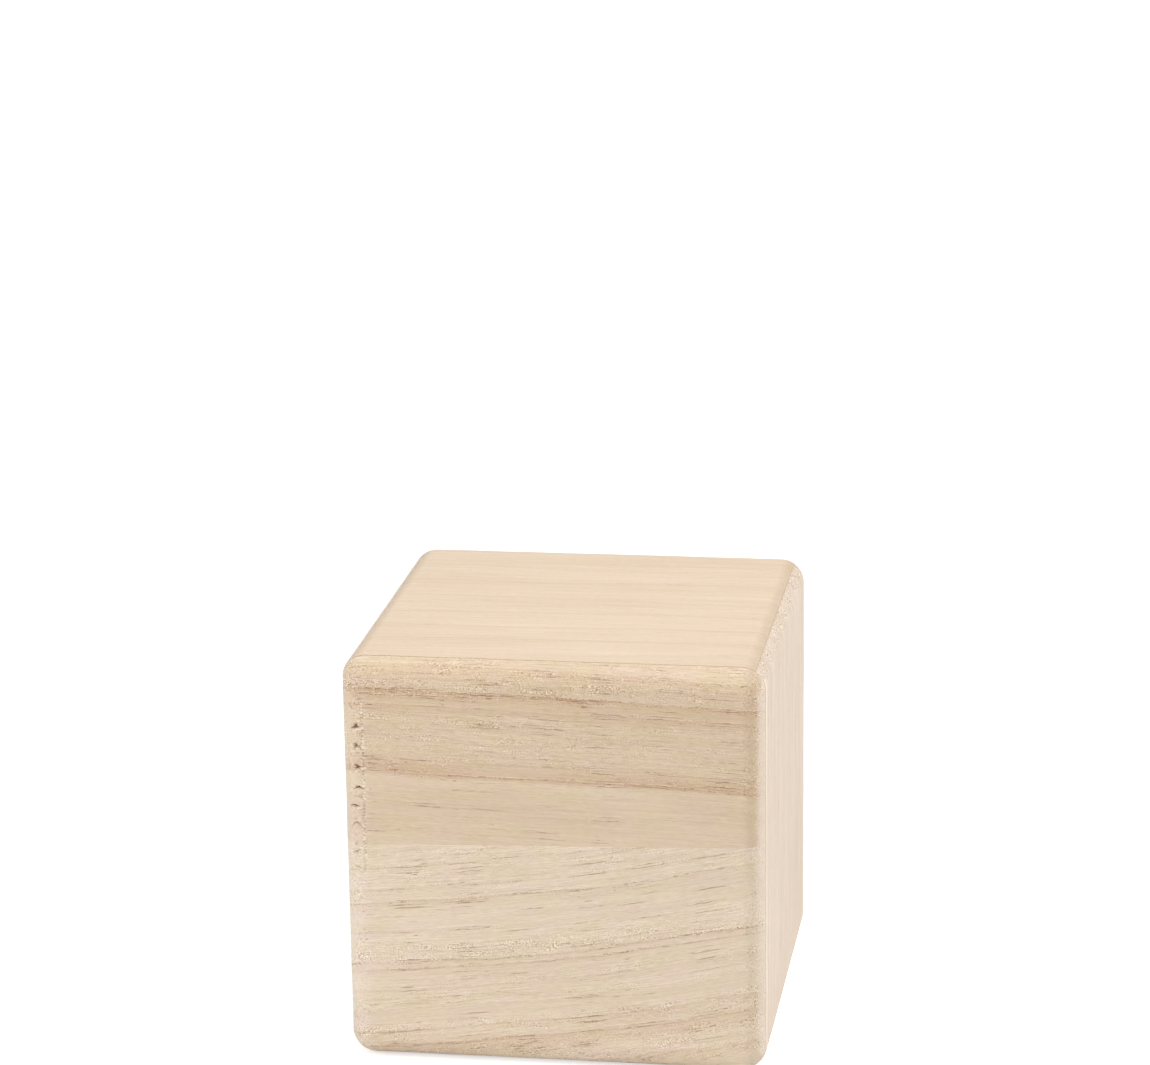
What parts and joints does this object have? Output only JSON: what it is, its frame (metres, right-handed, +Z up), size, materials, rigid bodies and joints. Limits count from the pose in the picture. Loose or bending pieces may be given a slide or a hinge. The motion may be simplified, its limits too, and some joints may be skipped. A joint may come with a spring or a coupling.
{
  "type": "wooden cube",
  "caption": "Hollow wooden cube of thin pale boards butt-jointed and glued into a closed box, with every edge and corner rounded.",
  "frame": {"origin": "middle of the bottom face, on the surface that the cube stands on", "axes": "+X to the right, +Y to the back, away from the two-stave front, +Z up"},
  "size_m": [0.08, 0.08, 0.08],
  "materials": {
    "upper_stave": "bare sanded wood, matt",
    "lower_stave": "bare sanded wood, matt",
    "back_board": "bare sanded wood, matt",
    "left_board": "bare sanded wood, matt",
    "right_board": "bare sanded wood, matt",
    "top_board": "bare sanded wood, matt",
    "bottom_board": "bare sanded wood, matt"
  },
  "bodies": {
    "root": {"front_upper_stave": "upper_stave", "front_lower_stave": "lower_stave", "back_board": "back_board", "left_board": "left_board", "right_board": "right_board", "top_board": "top_board", "bottom_board": "bottom_board"}
  },
  "joints": []
}
